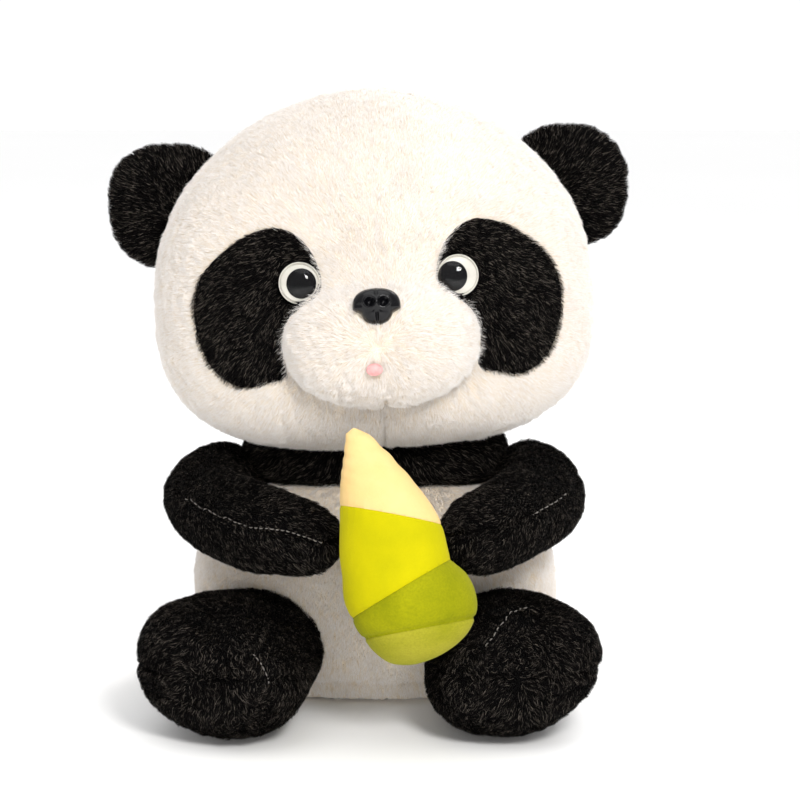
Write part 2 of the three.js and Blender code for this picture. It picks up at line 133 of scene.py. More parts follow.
def quad_ball(n):
    """Directions and quads of a ball made from a cube of n by n squares a side."""
    index, directions, quads = {}, [], []
    side = np.tan(np.linspace(-math.pi / 4, math.pi / 4, n + 1))
    frames = [((1, 0, 0), (0, 1, 0), (0, 0, 1)), ((-1, 0, 0), (0, 0, 1), (0, 1, 0)),
              ((0, 1, 0), (0, 0, 1), (1, 0, 0)), ((0, -1, 0), (1, 0, 0), (0, 0, 1)),
              ((0, 0, 1), (1, 0, 0), (0, 1, 0)), ((0, 0, -1), (0, 1, 0), (1, 0, 0))]
    for middle, along, up in (tuple(np.array(a, float) for a in f) for f in frames):
        grid = np.empty((n + 1, n + 1), int)
        for i in range(n + 1):
            for j in range(n + 1):
                p = middle + side[i] * along + side[j] * up
                key = tuple(np.round(p * 1e6).astype(int))
                if key not in index:
                    index[key] = len(directions)
                    directions.append(p)
                grid[i, j] = index[key]
        a, b, c, d = grid[:-1, :-1], grid[1:, :-1], grid[1:, 1:], grid[:-1, 1:]
        quads.append(np.stack([a, b, c, d], axis=-1).reshape(-1, 4))
    return unit(np.array(directions)), np.concatenate(quads)


def round_grid(columns, rows):
    """Directions and faces of a ball with its poles on +Y and -Y, for tubes."""
    angles = np.linspace(0, 2 * math.pi, columns, endpoint=False)
    polar = np.linspace(0, math.pi, rows + 1)[1:-1]
    ring = np.stack([np.cos(angles), np.zeros(columns), -np.sin(angles)], axis=1)
    rings = [ring * math.sin(a) + np.array([0, math.cos(a), 0]) for a in polar]
    directions = np.concatenate(rings + [np.array([[0, 1, 0], [0, -1, 0]])])
    faces, top, bottom = [], len(directions) - 2, len(directions) - 1
    for k in range(columns):
        after = (k + 1) % columns
        faces.append((top, k, after))
        last = (rows - 2) * columns
        faces.append((bottom, last + after, last + k))
        for r in range(rows - 2):
            low, high = r * columns, (r + 1) * columns
            faces.append((low + k, high + k, high + after, low + after))
    return directions, faces


def make_piece(name, points, faces, material, body):
    """A mesh piece from points in millimetres in the row frame, riding on its body."""
    mesh = bpy.data.meshes.new(name)
    quads = faces.tolist() if isinstance(faces, np.ndarray) else faces
    mesh.from_pydata((points * MM).tolist(), [], quads)
    mesh.update()
    mesh.shade_smooth()
    mesh.materials.append(material)
    piece = new_object(name, mesh)
    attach(piece, body)
    return piece


def copied(piece, body):
    """A second piece with a mesh of its own, riding on a body."""
    other = piece.copy()
    other.data = piece.data.copy()
    bpy.context.collection.objects.link(other)
    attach(other, body)
    return other


def read(mesh, key):
    """The "co" or "normal" of every vertex, in metres."""
    flat = np.empty(len(mesh.vertices) * 3)
    mesh.vertices.foreach_get(key, flat)
    return flat.reshape(-1, 3)


def points_of(piece):
    return read(piece.data, "co") / MM


def set_points(piece, points):
    piece.data.vertices.foreach_set("co", (points * MM).ravel())
    piece.data.update()


def push(piece, amounts):
    """Moves a piece's points along their normals by amounts in millimetres."""
    set_points(piece, points_of(piece) + read(piece.data, "normal") * amounts[:, None])


def ring_quads(rows, n, first=0, flipped=False):
    """Quads between rows of n points each, counted from the point first."""
    quads = []
    for r in range(rows):
        for k in range(n):
            a, b = first + r * n + k, first + r * n + (k + 1) % n
            quads.append((a, a + n, b + n, b) if flipped else (a, b, b + n, a + n))
    return quads


# ---- shapes shared with the CAD ----

def fullness(size, direction_z):
    return np.interp(direction_z, [-1, 1], [size["full_below"], size["full_above"]])


def radii(size, z, inset):
    height = np.where(z > 0, size["above"], size["below"]) - inset
    wide = np.full_like(height, size["width"] - inset)
    deep = np.full_like(height, size["depth"] - inset)
    return np.stack([wide, deep, height], axis=-1)


def reach_of(directions, full):
    """How far a rounded box of radius 1 reaches each way: full is 2 for a ball, more for a boxier one."""
    power = full if np.isscalar(full) else full[:, None]
    return (np.abs(directions) ** power).sum(axis=1) ** (-1 / full)


def egg_distance(size, points, inset):
    """About how far points lie outside an egg-like body, negative inside."""
    scaled = points / radii(size, points[:, 2], inset)
    length = np.linalg.norm(scaled, axis=1)
    direction = scaled / length[:, None]
    share = length / reach_of(direction, fullness(size, direction[:, 2]))
    return (share - 1) * np.linalg.norm(points, axis=1) / share


def egg_points(size, directions, inset):
    reach = reach_of(directions, fullness(size, directions[:, 2]))
    return directions * reach[:, None] * radii(size, directions[:, 2], inset)


def blended(a, b, width):
    """The smooth union of two distances."""
    overlap = np.maximum(width - np.abs(a - b), 0) / width
    return np.minimum(a, b) - overlap * overlap * width / 4


def march(distance, directions, near, far, steps=22):
    """Where each direction from the origin leaves a body."""
    low = np.full(len(directions), float(near))
    high = np.full(len(directions), float(far))
    for _ in range(steps):
        middle = (low + high) / 2
        inside = distance(directions * middle[:, None]) < 0
        low = np.where(inside, middle, low)
        high = np.where(inside, high, middle)
    return directions * low[:, None]


def spline(points, samples=80):
    """A smooth path through points, as evenly spaced samples."""
    p = np.array(points, float)
    p = np.vstack([2 * p[0] - p[1], p, 2 * p[-1] - p[-2]])
    path = []
    for a, b, c, d in zip(p[:-3], p[1:-2], p[2:-1], p[3:]):
        t = np.linspace(0, 1, 40, endpoint=False)[:, None]
        path.append(0.5 * (2 * b + (c - a) * t + (2 * a - 5 * b + 4 * c - d) * t**2
                           + (3 * b - a - 3 * c + d) * t**3))
    path = np.concatenate(path + [p[-2:-1]])
    lengths = np.concatenate([[0], np.cumsum(np.linalg.norm(np.diff(path, axis=0), axis=1))])
    even = np.linspace(0, lengths[-1], samples)
    return np.stack([np.interp(even, lengths, path[:, k]) for k in range(path.shape[1])], axis=1)


def along(path, t):
    places = np.linspace(0, 1, len(path))
    return np.stack([np.interp(t, places, path[:, k]) for k in range(path.shape[1])], axis=1)


def tube_points(path, start, end, full, flatness, inset, directions, twist=0.0):
    """A stuffed limb's surface: its points, and how far along the limb they are."""
    length = np.linalg.norm(np.diff(path, axis=0), axis=1).sum()
    t = (inset + (1 - directions[:, 1]) / 2 * (length - 2 * inset)) / length
    round_end = (1 - np.abs(directions[:, 1]) ** full) ** (1 / full)
    ring = np.maximum(np.hypot(directions[:, 0], directions[:, 2]), 1e-9)
    width = (start + (end - start) * t - inset) * round_end
    tangents = np.gradient(path, axis=0)
    forward = unit(along(tangents, t))
    side = unit(np.cross(forward, [0, 0, 1.0]))
    top = np.cross(side, forward)
    across, upward = width * directions[:, 0] / ring, -width * flatness * directions[:, 2] / ring
    turn = twist * smoothstep(0.25, 0.8, t)
    points = along(path, t) + side * (across * np.cos(turn) - upward * np.sin(turn))[:, None]
    points += top * (across * np.sin(turn) + upward * np.cos(turn))[:, None]
    return points, t


def bisected(piece, point, normal, keep_above):
    """Cuts a piece with a plane in millimetres, keeps one side of it and closes the cut."""
    cut = bmesh.new()
    cut.from_mesh(piece.data)
    geometry = cut.verts[:] + cut.edges[:] + cut.faces[:]
    result = bmesh.ops.bisect_plane(
        cut, geom=geometry, plane_co=Vector(point) * MM, plane_no=Vector(normal),
        clear_inner=keep_above, clear_outer=not keep_above,
    )
    rim = [e for e in result["geom_cut"] if isinstance(e, bmesh.types.BMEdge)]
    bmesh.ops.edgeloop_fill(cut, edges=rim)
    cut.to_mesh(piece.data)
    cut.free()
    piece.data.update()


def stuffed(piece, sewn, cap):
    """Blows a piece up as cloth, held where sewn is true, so that it fills between its seams.

    No point moves further than cap millimetres.
    """
    rest = points_of(piece)
    held = piece.vertex_groups.new(name="sewn")
    held.add(np.flatnonzero(sewn).tolist(), 1.0, "REPLACE")
    filling = piece.modifiers.new("filling", "CLOTH")
    settings = filling.settings
    for key, value in CLOTH.items():
        setattr(settings, key, value)
    settings.vertex_group_mass = "sewn"
    settings.effector_weights.gravity = 0
    filling.point_cache.frame_end = SIMULATED_FRAMES
    scene = bpy.context.scene
    for step in range(1, SIMULATED_FRAMES + 1):
        scene.frame_set(step)
    result = piece.evaluated_get(bpy.context.evaluated_depsgraph_get()).to_mesh()
    moved = read(result, "co") / MM - rest
    distance = np.linalg.norm(moved, axis=1, keepdims=True)
    moved *= np.minimum(1, cap / np.maximum(distance, 1e-6))
    piece.modifiers.remove(filling)
    piece.vertex_groups.remove(held)
    scene.frame_set(1)
    set_points(piece, rest + moved)


# ---- materials ----

def new_material(name):
    material = bpy.data.materials.new(name)
    material.use_nodes = True
    nodes = material.node_tree.nodes
    return material, nodes, nodes["Principled BSDF"]


def set_inputs(node, **values):
    """Sets sockets by name, with _ for each space in the name."""
    for key, value in values.items():
        node.inputs[key.replace("_", " ")].default_value = value


def add_node(nodes, kind, **settings):
    node = nodes.new(kind)
    for key, value in settings.items():
        if key in node.inputs:
            node.inputs[key].default_value = value
        else:
            setattr(node, key, value)
    return node


def wire(source, output, target, socket):
    source.id_data.links.new(source.outputs[output], target.inputs[socket])


def colour_ramp(nodes, *stops):
    """A ramp between two (position, colour) stops."""
    ramp = nodes.new("ShaderNodeValToRGB")
    for element, (position, colour) in zip(ramp.color_ramp.elements, stops):
        element.position = position
        element.color = (*colour, 1)
    return ramp


def noise_ramp(nodes, scale, dark, light, span=(0.3, 0.7), detail=4.0):
    """A colour that wanders from dark to light in patches of the given scale."""
    place = nodes.new("ShaderNodeTexCoord")
    noise = add_node(nodes, "ShaderNodeTexNoise", Scale=scale, Detail=detail)
    wire(place, "Object", noise, "Vector")
    ramp = colour_ramp(nodes, (span[0], dark), (span[1], light))
    wire(noise, "Fac", ramp, "Fac")
    return noise, ramp


def fine_noise(nodes, scale, detail):
    noise = add_node(nodes, "ShaderNodeTexNoise", Scale=scale, Detail=detail)
    wire(nodes["Texture Coordinate"], "Object", noise, "Vector")
    return noise


def add_bump(nodes, shader, noise, strength, distance):
    bump = add_node(nodes, "ShaderNodeBump", Strength=strength, Distance=distance)
    wire(noise, "Fac", bump, "Height")
    wire(bump, "Normal", shader, "Normal")


def plush_cloth(name, dark, light, sheen):
    """The backing cloth with the roots of its pile."""
    material, nodes, shader = new_material(name)
    _, ramp = noise_ramp(nodes, 60, dark, light, (0.35, 0.7))
    wire(ramp, "Color", shader, "Base Color")
    set_inputs(shader, Roughness=0.95, Specular_IOR_Level=0.02, Sheen_Weight=sheen, Sheen_Roughness=0.6)
    add_bump(nodes, shader, fine_noise(nodes, 900.0, 6.0), 0.9, 0.0008)
    return material


def pile_strands(name, root, tip, painted_glint, painted_glint_share, gloss, specular):
    """Pile fibres: darker at the root, as painted shade deep in the pile, and lighter at the tip, as painted
    sheen; a share of strands is painted lighter as painted glints.
    """
    material, nodes, shader = new_material(name)
    hair = nodes.new("ShaderNodeHairInfo")
    _, patches = noise_ramp(nodes, 45, (0.95, 0.95, 0.95), (1.0, 1.0, 1.0))
    # painted shade and sheen: the colour runs from a darker root to a lighter tip
    length = colour_ramp(nodes, (0, root), (0.8, tip))
    wire(hair, "Intercept", length, "Fac")
    shade = add_node(nodes, "ShaderNodeMix", data_type="RGBA", blend_type="MULTIPLY")
    set_inputs(shade, Factor=1)
    wire(length, "Color", shade, "A")
    wire(patches, "Color", shade, "B")
    # painted glints: a random share of strands takes the lighter glint colour
    chosen = colour_ramp(nodes, (1 - painted_glint_share, (0, 0, 0)), (1, (1, 1, 1)))
    wire(hair, "Random", chosen, "Fac")
    mixed = add_node(nodes, "ShaderNodeMix", data_type="RGBA")
    wire(chosen, "Color", mixed, "Factor")
    wire(shade, "Result", mixed, "A")
    set_inputs(mixed, B=(*painted_glint, 1))
    wire(mixed, "Result", shader, "Base Color")
    set_inputs(shader, Roughness=gloss, Specular_IOR_Level=specular)
    return material


def velvet(name, dark, light, sheen_tint, grain):
    """Short velvet: mottled nap, fine grain and a pale sheen at grazing angles."""
    material, nodes, shader = new_material(name)
    _, ramp = noise_ramp(nodes, 55, dark, light, (0.3, 0.72), detail=6.0)
    nap = fine_noise(nodes, 1100.0, 3.0)
    speck = nodes.new("ShaderNodeMapRange")
    set_inputs(speck, To_Min=1 - grain, To_Max=1 + grain)
    wire(nap, "Fac", speck, "Value")
    shade = add_node(nodes, "ShaderNodeVectorMath", operation="SCALE")
    wire(ramp, "Color", shade, 0)
    wire(speck, "Result", shade, "Scale")
    wire(shade, "Vector", shader, "Base Color")
    set_inputs(shader, Roughness=0.8, Specular_IOR_Level=0.1, Sheen_Weight=0.15, Sheen_Roughness=0.35,
               Sheen_Tint=(*sheen_tint, 1))
    add_bump(nodes, shader, nap, 0.35, 0.0003)
    return material


def speckled(name, dark, light, scale, strength, distance, **sockets):
    """A surface whose colour and bumps come from the same noise."""
    material, nodes, shader = new_material(name)
    noise, ramp = noise_ramp(nodes, scale, dark, light)
    wire(ramp, "Color", shader, "Base Color")
    set_inputs(shader, **sockets)
    add_bump(nodes, shader, noise, strength, distance)
    return material


def plastic(name, colour, roughness, coat=0.6, specular=0.3):
    darker = tuple(c * 0.8 for c in colour)
    return speckled(name, darker, colour, 120, 0.02, 0.0005, Roughness=roughness, Coat_Weight=coat,
                    Specular_IOR_Level=specular, Coat_Roughness=0.04)


def threads(name, dark, light, scale):
    return speckled(name, dark, light, scale, 0.3, 0.0003, Roughness=0.55, Sheen_Weight=0.3)


def clear_plastic(name):
    """A clear moulding: it lets everything through but its reflections."""
    material, nodes, shader = new_material(name)
    set_inputs(shader, Base_Color=(1, 1, 1, 1), Roughness=0.02)
    through = nodes.new("ShaderNodeBsdfTransparent")
    glossy = add_node(nodes, "ShaderNodeBsdfGlossy", Roughness=0.015)
    fresnel = add_node(nodes, "ShaderNodeFresnel", IOR=1.38)
    face = nodes.new("ShaderNodeNewGeometry")
    outside = add_node(nodes, "ShaderNodeMath", operation="MULTIPLY_ADD")
    outside.inputs[1].default_value = -1
    outside.inputs[2].default_value = 1
    wire(face, "Backfacing", outside, 0)
    front_only = add_node(nodes, "ShaderNodeMath", operation="MULTIPLY")
    wire(fresnel, "Fac", front_only, 0)
    wire(outside, "Value", front_only, 1)
    mix = nodes.new("ShaderNodeMixShader")
    wire(front_only, "Value", mix, "Fac")
    wire(through, "BSDF", mix, 1)
    wire(glossy, "BSDF", mix, 2)
    wire(mix, "Shader", nodes["Material Output"], "Surface")
    return material


CREAM_CLOTH = plush_cloth("cream_cloth", (0.80, 0.70, 0.57), (0.87, 0.79, 0.67), 0.1)
BLACK_CLOTH = plush_cloth("black_cloth", (0.002, 0.002, 0.002), (0.004, 0.004, 0.004), 0.0)
# The piles' darker root colours are painted shade, and their lighter strands are painted glints.
CREAM_PILE = pile_strands("cream_pile", (0.82, 0.72, 0.58), (0.93, 0.90, 0.88), (0.99, 0.98, 0.97), 0.25,
                          gloss=0.6, specular=0.25)
BLACK_PILE = pile_strands("black_pile", (0.0008, 0.0008, 0.0008), (0.0035, 0.003, 0.003), (0.22, 0.19, 0.16),
                          0.13, gloss=0.45, specular=0.03)
YELLOW = velvet("yellow_velvet", (0.71, 0.49, 0.19), (0.74, 0.53, 0.25), (1.0, 0.92, 0.70), 0.03)
LIME = velvet("lime_velvet", (0.41, 0.375, 0.0), (0.49, 0.435, 0.0), (0.80, 0.76, 0.30), 0.05)
OLIVE = velvet("olive_velvet", (0.20, 0.21, 0.001), (0.28, 0.28, 0.002), (0.66, 0.66, 0.25), 0.25)
LEAF = velvet("leaf_velvet", (0.25, 0.25, 0.01), (0.36, 0.33, 0.03), (0.74, 0.74, 0.35), 0.25)
WHITE_PLASTIC = plastic("white_plastic", (0.62, 0.60, 0.54), 0.3)
BLACK_PLASTIC = plastic("black_plastic", (0.003, 0.003, 0.004), 0.15, coat=0.4, specular=0.1)
PUPIL_PLASTIC = plastic("pupil_plastic", (0.0015, 0.0015, 0.002), 0.6, coat=0.0, specular=0.05)
WASHER_PLASTIC = plastic("washer_plastic", (0.8, 0.8, 0.78), 0.5)
CLEAR_PLASTIC = clear_plastic("clear_plastic")
PINK_THREAD = threads("pink_thread", (0.62, 0.27, 0.27), (0.76, 0.40, 0.39), 500)
BLACK_THREAD = threads("black_thread", (0.01, 0.01, 0.01), (0.03, 0.03, 0.03), 600)
GREY_THREAD = threads("grey_thread", (0.10, 0.09, 0.08), (0.22, 0.20, 0.18), 600)
SATIN = threads("label_satin", (0.80, 0.79, 0.76), (0.88, 0.87, 0.85), 300)


# ---- pile ----

def scatter(piece, density, rng):
    """Random roots over a piece, in millimetres, with the surface's direction at each."""
    mesh = piece.data
    mesh.calc_loop_triangles()
    corners = np.empty(len(mesh.loop_triangles) * 3, np.int32)
    mesh.loop_triangles.foreach_get("vertices", corners)
    corners = corners.reshape(-1, 3)
    points, normals = points_of(piece), read(mesh, "normal")
    a, b, c = (points[corners[:, k]] for k in range(3))
    area = np.linalg.norm(np.cross(b - a, c - a), axis=1) / 2
    count = int(area.sum() * density * FUR_SHARE)
    chosen = np.searchsorted(np.cumsum(area) / area.sum(), rng.random(count))
    u, v = rng.random((2, count, 1))
    flip = u + v > 1
    u, v = np.where(flip, 1 - u, u), np.where(flip, 1 - v, v)
    mix = lambda values: (values[corners[chosen, 0]] * (1 - u - v)
                          + values[corners[chosen, 1]] * u + values[corners[chosen, 2]] * v)
    return mix(points), unit(mix(normals))


def grow_pile(piece, material, seed, nap, length=3.4, density=6.5, width=0.12, keep=None,
              lift=(56, 8), clump=1.3, disorder=0.5):
    """Short fibres all over a piece, combed along nap, which ride with it."""
    rng = np.random.default_rng(seed)
    roots, normals = scatter(piece, density, rng)
    if keep is not None:
        kept = keep(roots)
        roots, normals = roots[kept], normals[kept]
    count = len(roots)
    waves = [ripple(roots, 16, seed + k) + 0.6 * ripple(roots, 5, seed + 10 + k) for k in range(3)]
    comb = unit(nap(roots)) + disorder * (0.3 * np.stack(waves, axis=1) + rng.normal(0, 0.16, (count, 3)))
    comb = unit(comb - normals * (comb * normals).sum(axis=1, keepdims=True))
    lengths = length * rng.uniform(0.65, 1.15, count) * (1 + 0.12 * ripple(roots, 9, seed + 30))
    raised = rng.normal(0, 8, count)
    points = np.empty((count, 4, 3))
    points[:, 0] = roots - normals * 0.3
    for k, turn in enumerate(np.linspace(lift[0], lift[1], 3)):
        angle = np.radians(np.clip(turn + raised, 3, 88))[:, None]
        step = (np.sin(angle) * normals + np.cos(angle) * comb) * lengths[:, None] / 3
        points[:, k + 1] = points[:, k] + step
    shifted = roots + np.stack([ripple(roots, 7, seed + 40 + k) for k in range(3)], axis=1) * 1.2
    cells = np.floor(shifted / clump).astype(np.int64)
    keys = cells[:, 0] * 73856093 ^ cells[:, 1] * 19349663 ^ cells[:, 2] * 83492791
    _, tuft = np.unique(keys, return_inverse=True)
    members = np.bincount(tuft)[:, None]
    for k, pull in ((2, 0.16 * disorder), (3, 0.42 * disorder)):
        middle = np.stack([np.bincount(tuft, points[:, k, axis]) for axis in range(3)], axis=1) / members
        points[:, k] += (middle[tuft] - points[:, k]) * pull
    curves = bpy.data.hair_curves.new(piece.name + "_pile")
    curves.add_curves([4] * count)
    curves.position_data.foreach_set("vector", (points * MM).astype(np.float32).ravel())
    radius = curves.attributes.new("radius", "FLOAT", "POINT")
    taper = np.array([0.5, 0.45, 0.3, 0.08]) * width * MM
    widths = rng.uniform(0.7, 1.3, count)[:, None] * taper
    radius.data.foreach_set("value", widths.astype(np.float32).ravel())
    curves.materials.append(material)
    new_object(piece.name + "_pile", curves).parent = piece


def tufted(piece, seed, depth=0.35, wavelength=4.5):
    """Small uneven tufts in the piece's own surface."""
    points = points_of(piece)
    push(piece, depth * ripple(points, wavelength, seed) + depth * 0.8 * ripple(points, 24, seed + 1))


def from_head(points):
    return apply(HEAD_FRAME, points)


def to_head(points):
    return apply(HEAD_FRAME.inverted(), points)


def turned_with_head(directions):
    return directions @ np.array(HEAD_FRAME.to_3x3()).T


# ---- head ----

PATCH_OUTLINE = [(43, 47), (56, 43.5), (68, 35), (76.5, 25), (80, 11), (77.5, -4), (71.5, -15),
                 (61, -21), (50, -19), (41.5, -15.5), (42.5, -2), (38, 11), (25, 21), (26.5, 34),
                 (33.5, 43.5)]
EYE_ACROSS, EYE_UPWARD, EYE_LIFT = 0.325, 0.235, 0.4
NOSE_TILT = math.radians(22)
MOUTH_X, MOUTH_Z = -4.5, -9.3  # in the head's frame


def surface_frame(size, centre, across, upward, lift):
    """A frame on the front of an egg-like body: +Z outward, +X to its left, +Y up."""
    def towards(x, z):
        direction = np.array([[x, -math.sqrt(1 - x * x - z * z), z]])
        return egg_points(size, direction, 0)[0]
    at = towards(across, upward)
    sideways = towards(across + 0.01, upward) - at
    out = unit(np.cross(sideways, towards(across, upward + 0.01) - at))
    left = unit(np.cross([0, 0, 1.0], out))
    up = np.cross(out, left)
    return Matrix((*zip(left, up, out, at + centre + out * lift), (0, 0, 0, 1)))


def eye_frame(sign):
    return surface_frame(HEAD, np.zeros(3), sign * EYE_ACROSS, EYE_UPWARD, EYE_LIFT)


def eye_gap(points, sign):
    """How far points in the head's frame are from an eye."""
    return np.linalg.norm(points - np.array(eye_frame(sign).translation), axis=1)


def nose_seat():
    return surface_frame(MUZZLE, MUZZLE_AT, -0.05, 0.62, 0)


def in_outline(outline, points):
    """Which (x, z) points lie inside a closed outline."""
    inside = np.zeros(len(points), bool)
    x, z = points[:, 0], points[:, 1]
    for (ax, az), (bx, bz) in zip(outline, np.roll(outline, -1, axis=0)):
        if az == bz:
            continue
        crosses = (az > z) != (bz > z)
        inside ^= crosses & (x < (bx - ax) * (z - az) / (bz - az) + ax)
    return inside


def patch_outline(sign):
    loop = np.array(PATCH_OUTLINE + PATCH_OUTLINE[:3], float)
    smooth = spline(loop, 170)
    start = np.argmin(np.linalg.norm(smooth - loop[1], axis=1)[:40])
    stop = 120 + np.argmin(np.linalg.norm(smooth[120:] - loop[len(PATCH_OUTLINE) + 1], axis=1))
    return smooth[start:stop] * [sign, 1]


PATCHES = {side: patch_outline(sign) for side, sign in SIDES}


def head_distance(points):
    """Distance to the head's cloth, which flows into the top of the muzzle."""
    local = points - MUZZLE_AT
    width = 1.5 + 18 * smoothstep(-0.1, 0.6, local[:, 2] / 30)
    skin = egg_distance(HEAD, points, PILE)
    return blended(skin, egg_distance(MUZZLE, local, PILE + 0.9), width)


def make_head():
    directions, quads = quad_ball(120)
    points = march(head_distance, directions, 30, 140)
    head = make_piece("head_cover", from_head(points), quads, CREAM_CLOTH, "head")
    seam = groove(points[:, 0], 1.6) * np.interp(points[:, 2], [-20, 10], [1, 0.25])
    on_muzzle = egg_distance(MUZZLE, points - MUZZLE_AT, -3) < 0
    seam = np.where(on_muzzle, 0, seam)
    dents = np.zeros(len(points))
    for _, sign in SIDES:
        dents += 3.2 * groove(eye_gap(points, sign), 10)
    below = smoothstep(-4, -20, points[:, 2])
    crease = groove(egg_distance(MUZZLE, points - MUZZLE_AT, PILE) - 1.5, 5) * below
    push(head, -1.3 * seam - dents - 3.0 * crease)
    tufted(head, 11)
    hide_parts("face_panel_left", "face_panel_right", "head_back_panel_left",
                "head_back_panel_right", "head_stuffing")
    nose = np.array([[0, -100, 14.0]])

    def nap(roots):
        local = to_head(roots)
        out = unit(local - nose)
        face = smoothstep(20, -50, local[:, 1])[:, None]
        down = np.array([[0, 0, -1.0]])
        back = unit(np.array([[0, 0.4, -1.0]]))
        return turned_with_head(out * face + back * (1 - face) + 0.15 * down)

    def keep(roots):
        local = to_head(roots)
        kept = egg_distance(MUZZLE, local - MUZZLE_AT, PILE) > -0.3
        uneven = np.random.default_rng(27).normal(0, 0.7, (len(local), 2))
        for side, sign in SIDES:
            covered = in_outline(PATCHES[side], local[:, [0, 2]] + uneven) & (local[:, 1] < -30)
            kept &= ~covered & (eye_gap(local, sign) > 9.4)
        return kept

    grow_pile(head, CREAM_PILE, 21, nap, keep=keep)
    return head


def make_muzzle():
    directions, quads = quad_ball(64)
    points = egg_points(MUZZLE, directions, PILE)
    cleft = groove(points[:, 0] - 0.5, 3.2) * smoothstep(-12, -26, points[:, 2]) * (points[:, 1] < 0)
    dimple = groove(np.linalg.norm(points - np.array([-3, -34, -8]), axis=1), 6)
    points = points * (1 - 0.055 * cleft - 0.05 * dimple)[:, None]
    muzzle = make_piece("muzzle_cover", from_head(points + MUZZLE_AT), quads, CREAM_CLOTH,
                        "head")
    tufted(muzzle, 12)
    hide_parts("muzzle_cover", "muzzle_stuffing")
    mouth = np.array([[-3, -104, -2.0]])

    def nap(roots):
        return turned_with_head(unit(to_head(roots) - mouth) + np.array([[0, 0, -0.25]]))

    def keep(roots):
        local = to_head(roots)
        kept = head_distance(local) > -0.4
        pad = (local - np.array([MOUTH_X, -102, MOUTH_Z])) / np.array([2.9, 30, 2.1])
        kept &= np.linalg.norm(pad, axis=1) > 1
        near = apply(nose_seat().inverted(), local)
        kept &= np.hypot(near[:, 0] / 8.5, (near[:, 1] + 1.5) / 7) > 1
        for _, sign in SIDES:
            kept &= eye_gap(local, sign) > 9.0
        return kept

    grow_pile(muzzle, CREAM_PILE, 22, nap, length=3.9, keep=keep)


def make_patches(head):
    surface = BVHTree.FromObject(head, bpy.context.evaluated_depsgraph_get())
    forward = HEAD_FRAME.to_3x3() @ Vector((0, 1, 0))
    rings = np.linspace(0, 1, 30)
    for side, sign in SIDES:
        outline = PATCHES[side]
        middle = np.array([sign * 55.0, 12.0])
        flat = np.concatenate([middle + (outline - middle) * t for t in rings[1:]] + [[middle]])
        start = from_head(np.column_stack([flat[:, 0], np.full(len(flat), -150.0), flat[:, 1]]))
        points = []
        for p in start:
            spot, normal, _, _ = surface.ray_cast(Vector(p) * MM, forward)
            points.append(list(spot / MM + normal * 0.45))
        points = np.array(points)
        turning = np.cross(outline, np.roll(outline, -1, axis=0)).sum()
        n, last = len(outline), len(points) - 1
        faces = ring_quads(len(rings) - 2, n, flipped=turning > 0)
        for k in range(n):
            after = (k + 1) % n
            faces.append((last, k, after) if turning > 0 else (last, after, k))
        patch = make_piece(f"eye_patch_{side}", points, faces, BLACK_CLOTH, "head")
        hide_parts(f"eye_patch_{side}")

        def nap(roots, sign=sign):
            local = to_head(roots)
            away = unit(local - np.array([[sign * 22.0, -60, 30]])) + np.array([[sign * 0.2, 0, -0.6]])
            return turned_with_head(away)

        def keep(roots, sign=sign):
            local = to_head(roots)
            return (eye_gap(local, sign) > 9.6) & (egg_distance(MUZZLE, local - MUZZLE_AT, 0.5) > 0)

        grow_pile(patch, BLACK_PILE, 30 + (sign > 0), nap, length=2.9, keep=keep, disorder=1.0)


# ---- eyes, nose, mouth ----

def lathe(profile, segments):
    """Points and faces of a profile of (radius, height) turned about +Z, on the axis at both ends."""
    angles = np.linspace(0, 2 * math.pi, segments, endpoint=False)
    ring = np.stack([np.cos(angles), np.sin(angles)], axis=1)
    points = [np.column_stack([ring * r, np.full(segments, h)]) for r, h in profile[1:-1]]
    ends = [[0, 0, profile[0][1]], [0, 0, profile[-1][1]]]
    points = np.concatenate(points + [ends])
    faces, rows = [], len(profile) - 2
    first, last = len(points) - 2, len(points) - 1
    for k in range(segments):
        after = (k + 1) % segments
        faces.append((first, after, k))
        faces.append((last, (rows - 1) * segments + k, (rows - 1) * segments + after))
        for r in range(rows - 1):
            low, high = r * segments, (r + 1) * segments
            faces.append((low + k, low + after, high + after, high + k))
    return points, faces


def arc(radius, rise, base, steps=14, start=0.0):
    angles = np.linspace(start, math.pi / 2, steps)
    return [(radius * math.cos(a), base + rise * math.sin(a)) for a in angles]


def make_eye(side, sign):
    place = HEAD_FRAME @ eye_frame(sign)
    base = [(0, -12), (2.2, -12), (2.2, -0.4), (8.2, -0.4), (8.8, -0.1), (9.0, 0.5), (9.0, 1.2),
            (8.9, 1.5), (8.7, 1.6), (8.5, 1.5), (8.4, 0.4), (7.95, 0.4), (7.8, 1.5), (7.65, 1.6), (0, 1.6)]
    points, faces = lathe(base, 72)
    eye = make_piece(f"eye_base_{side}", apply(place, points), faces, WHITE_PLASTIC, "head")
    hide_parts(f"eye_base_{side}")
    disc = [(0, 1.65), (6.2, 1.65), (6.45, 1.8), (6.45, 2.0)] + arc(6.3, 0.9, 2.05, 10, 0.1)
    disc[-1] = (0, disc[-1][1])
    points, faces = lathe(disc, 72)
    points = points + np.array([-2.7 if sign > 0 else 1.0, -0.2, 0])
    pupil = make_piece(f"pupil_{side}", apply(place, points), faces, PUPIL_PLASTIC,
                       "head")
    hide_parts(f"pupil_{side}")
    outside = arc(9.0, 5.4, 2.2)
    inside = arc(8.2, 4.7, 2.0)[::-1]
    profile = inside + [(8.2, 1.62), (9.0, 1.62)] + outside
    profile[0] = (0, profile[0][1])
    profile[-1] = (0, profile[-1][1])
    points, faces = lathe(profile, 96)
    dome = make_piece(f"eye_dome_{side}", apply(place, points), faces, CLEAR_PLASTIC, "head")
    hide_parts(f"eye_dome_{side}")


